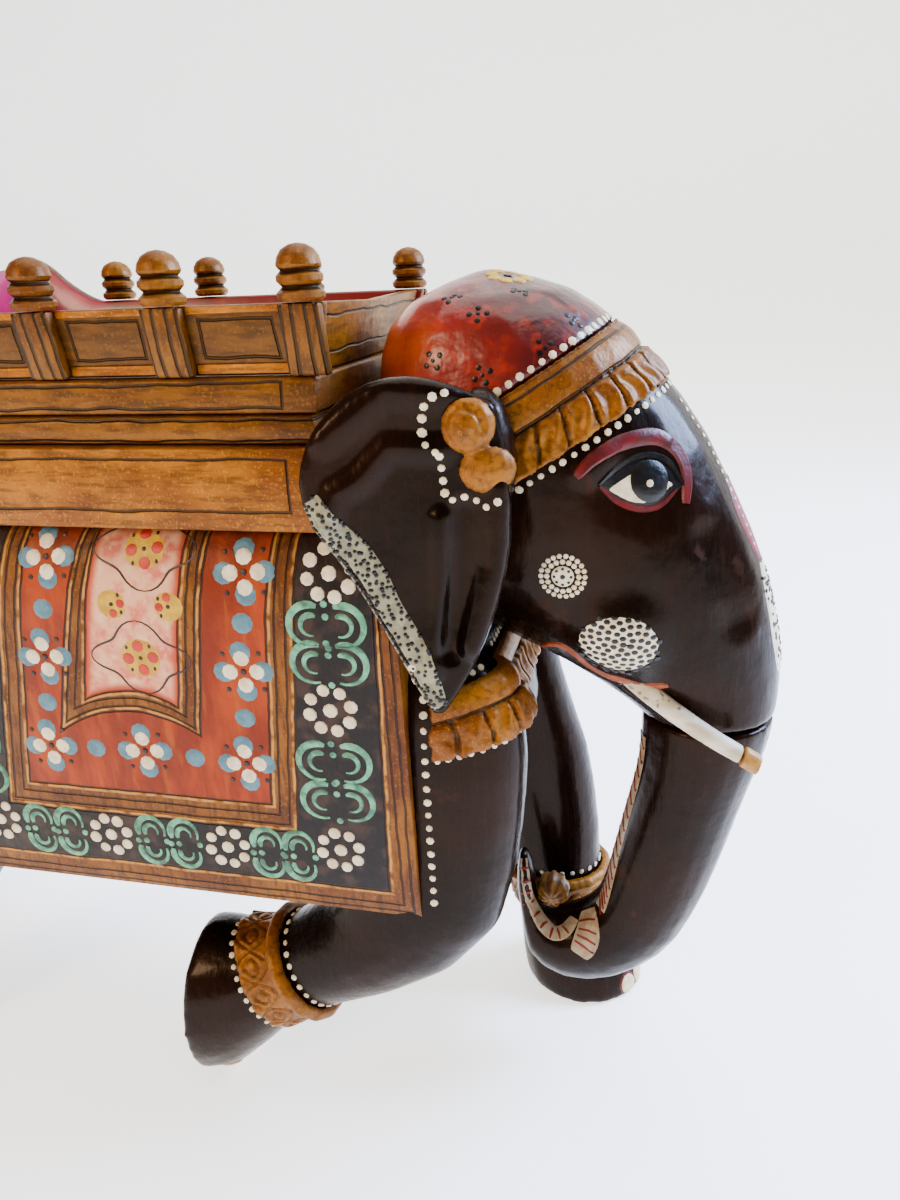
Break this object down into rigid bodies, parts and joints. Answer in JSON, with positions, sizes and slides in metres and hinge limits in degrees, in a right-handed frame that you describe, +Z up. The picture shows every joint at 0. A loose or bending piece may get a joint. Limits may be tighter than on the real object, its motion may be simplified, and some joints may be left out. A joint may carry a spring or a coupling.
{
  "type": "carved wooden elephant",
  "caption": "Carved and painted wooden elephant in walking stance, trunk curled under, wearing a turban, bell collar, anklets and a patterned blanket, with a railed howdah seat on its back.",
  "frame": {"origin": "middle of the footprint, on the plane of the soles", "axes": "+X towards the trunk, +Y to the elephant's left, +Z up"},
  "size_m": [0.3718, 0.129, 0.2965],
  "materials": {
    "lacquer": "black-brown gloss lacquer over carved wood, a little worn at the edges",
    "gilt_wood": "ochre-gold painted wood with hand-incised dark lines",
    "red_lacquer": "red to orange gloss paint over carved wood",
    "blanket_paint": "painted wood: orange-red band, dark meander border, pink panel, gold frames",
    "ivory_paint": "cream painted wood, weathered",
    "brass_paint": "metallic gold paint on wood",
    "ball_paint": "brown-gold painted wood",
    "raw_wood": "bare turned wood"
  },
  "bodies": {
    "root": {"torso": "lacquer", "head": "lacquer", "trunk": "lacquer", "foreleg_right": "lacquer", "foreleg_left": "lacquer", "hindleg_right": "lacquer", "hindleg_left": "lacquer", "tail": "lacquer", "ear_right": "lacquer", "ear_left": "lacquer", "ear_boss_right": "gilt_wood", "ear_boss_left": "gilt_wood", "headband": "gilt_wood", "collar": "gilt_wood", "anklet_fore_right": "gilt_wood", "anklet_fore_left": "gilt_wood", "anklet_hind_right": "gilt_wood", "anklet_hind_left": "gilt_wood", "howdah_plinth": "gilt_wood", "howdah_moulding": "gilt_wood", "howdah_tray": "gilt_wood", "rail_front": "gilt_wood", "backrest": "gilt_wood", "rail_right": "gilt_wood", "rail_left": "gilt_wood", "post_right_1": "gilt_wood", "post_right_2": "gilt_wood", "post_right_3": "gilt_wood", "post_right_4": "gilt_wood", "post_left_1": "gilt_wood", "post_left_2": "gilt_wood", "post_left_3": "gilt_wood", "post_left_4": "gilt_wood", "finial_right_1": "gilt_wood", "finial_right_2": "gilt_wood", "finial_right_3": "gilt_wood", "finial_right_4": "gilt_wood", "finial_left_1": "gilt_wood", "finial_left_2": "gilt_wood", "finial_left_3": "gilt_wood", "finial_left_4": "gilt_wood", "turban": "red_lacquer", "blanket": "blanket_paint", "tusk_right": "ivory_paint", "tusk_left": "ivory_paint", "tusk_cap_right": "brass_paint", "tusk_cap_left": "brass_paint", "trunk_ball": "ball_paint", "neck_dowel": "raw_wood", "crown_dowel": "raw_wood", "trunk_dowel": "raw_wood", "foreleg_dowel_right": "raw_wood", "foreleg_dowel_left": "raw_wood", "hindleg_dowel_right": "raw_wood", "hindleg_dowel_left": "raw_wood", "howdah_dowel_rear": "raw_wood", "howdah_dowel_front": "raw_wood"}
  },
  "joints": []
}
